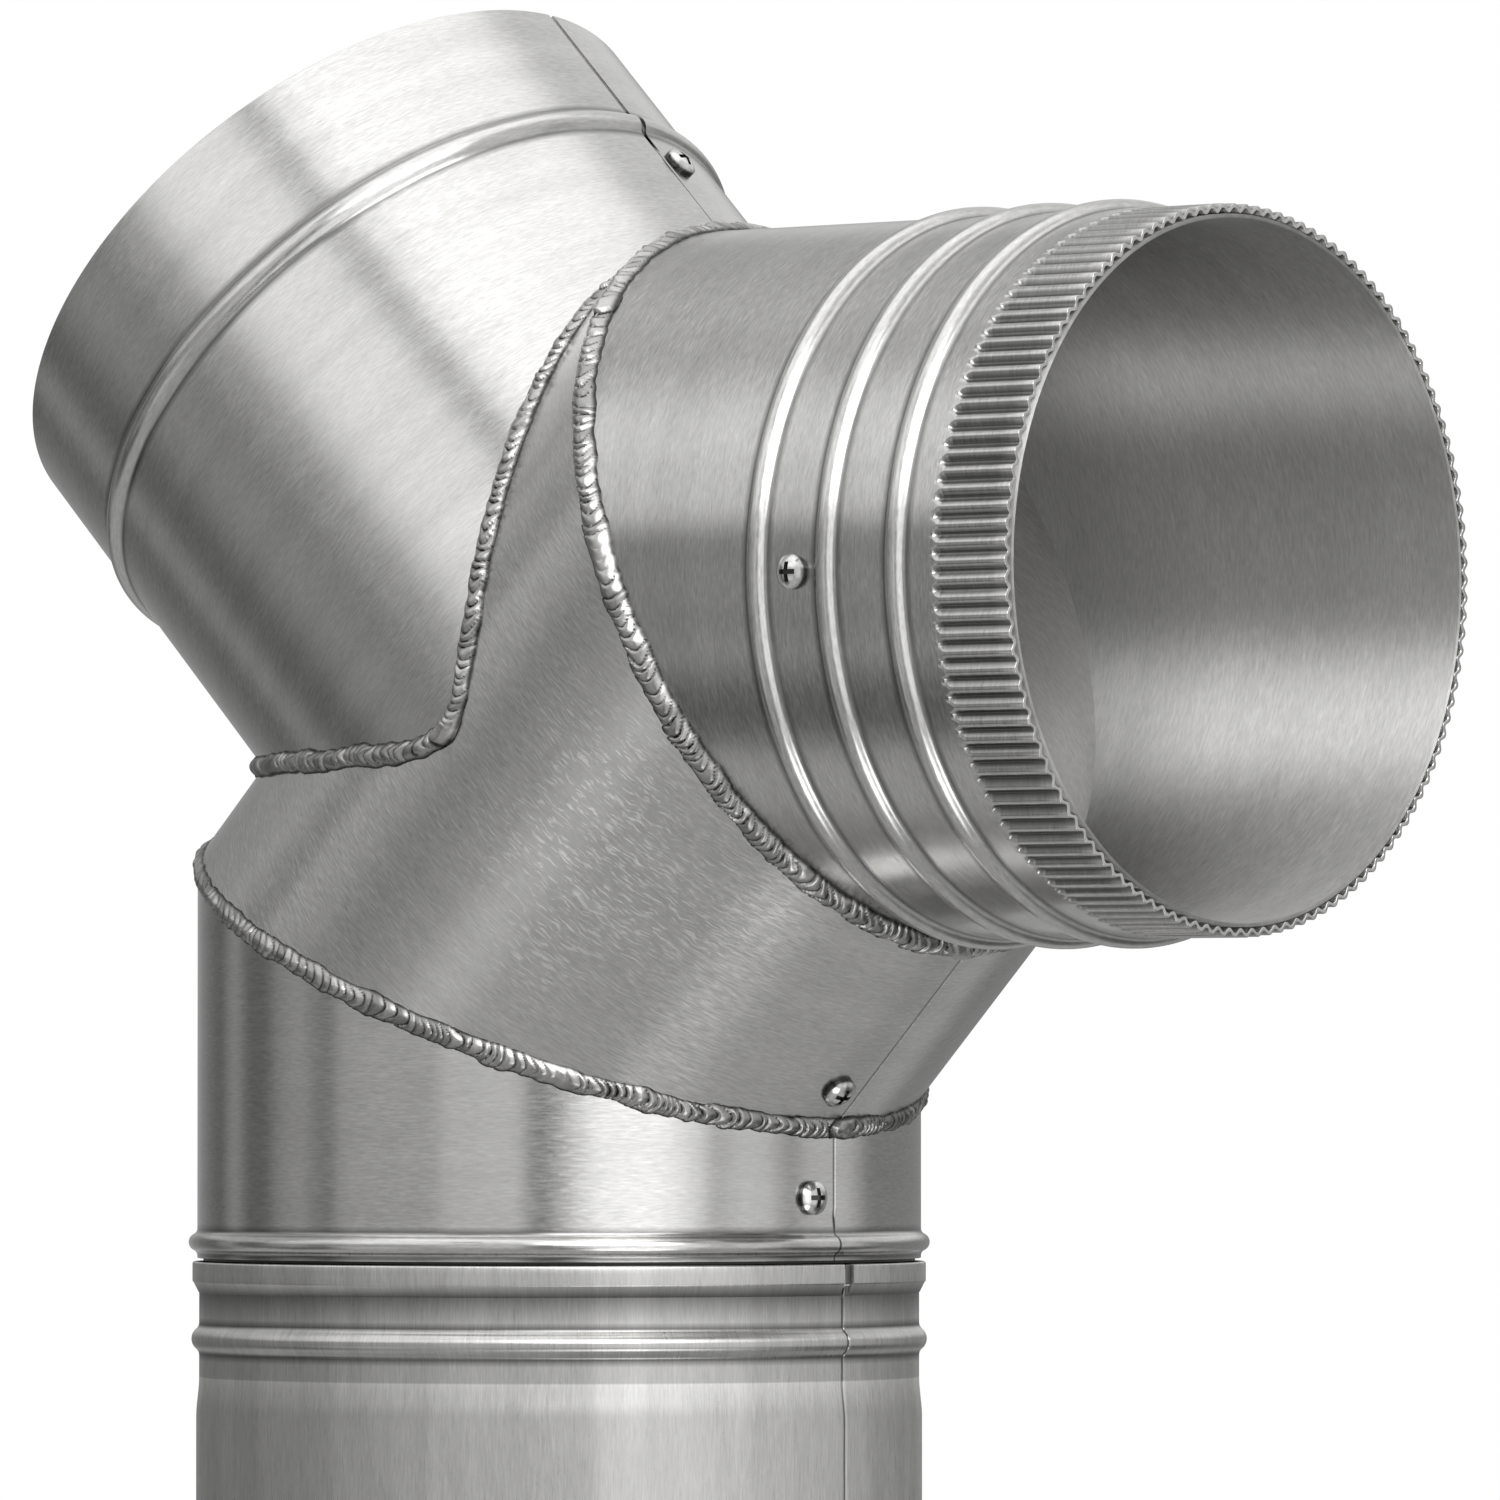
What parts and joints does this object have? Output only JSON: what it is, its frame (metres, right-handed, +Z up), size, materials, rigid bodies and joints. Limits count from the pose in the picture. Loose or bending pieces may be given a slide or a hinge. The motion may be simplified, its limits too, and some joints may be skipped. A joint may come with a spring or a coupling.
{
  "type": "flue inspection elbow",
  "caption": "Mitred sheet-steel flue elbow with a rear inspection branch, crimped outlet and a length of lower pipe.",
  "frame": {"origin": "centre of the lower pipe's bottom edge", "axes": "+Z up along the lower pipe, +X along the outlet; the branch leans towards -X"},
  "size_m": [0.2978, 0.1538, 0.3703],
  "materials": {
    "pipe_sheet": "stainless sheet, brushed along the pipe",
    "collar_sheet": "stainless sheet, brushed round the tube",
    "gore_sheet": "stainless sheet, brushed, with fine scratches",
    "outlet_sheet": "stainless sheet, brushed round the tube",
    "sleeve_sheet": "stainless sheet, smooth brushed bore",
    "branch_sheet": "stainless sheet, brushed",
    "weld": "bare weld metal, rippled",
    "screw": "bright plated steel"
  },
  "bodies": {
    "root": {"lower_pipe": "pipe_sheet", "bottom_collar": "collar_sheet", "middle_gore": "gore_sheet", "outlet_collar": "outlet_sheet", "outlet_sleeve": "sleeve_sheet", "inspection_branch": "branch_sheet", "bottom_weld": "weld", "outlet_weld": "weld", "branch_weld": "weld", "collar_screw": "screw", "gore_screw": "screw", "outlet_screw": "screw", "branch_screw": "screw"}
  },
  "joints": []
}
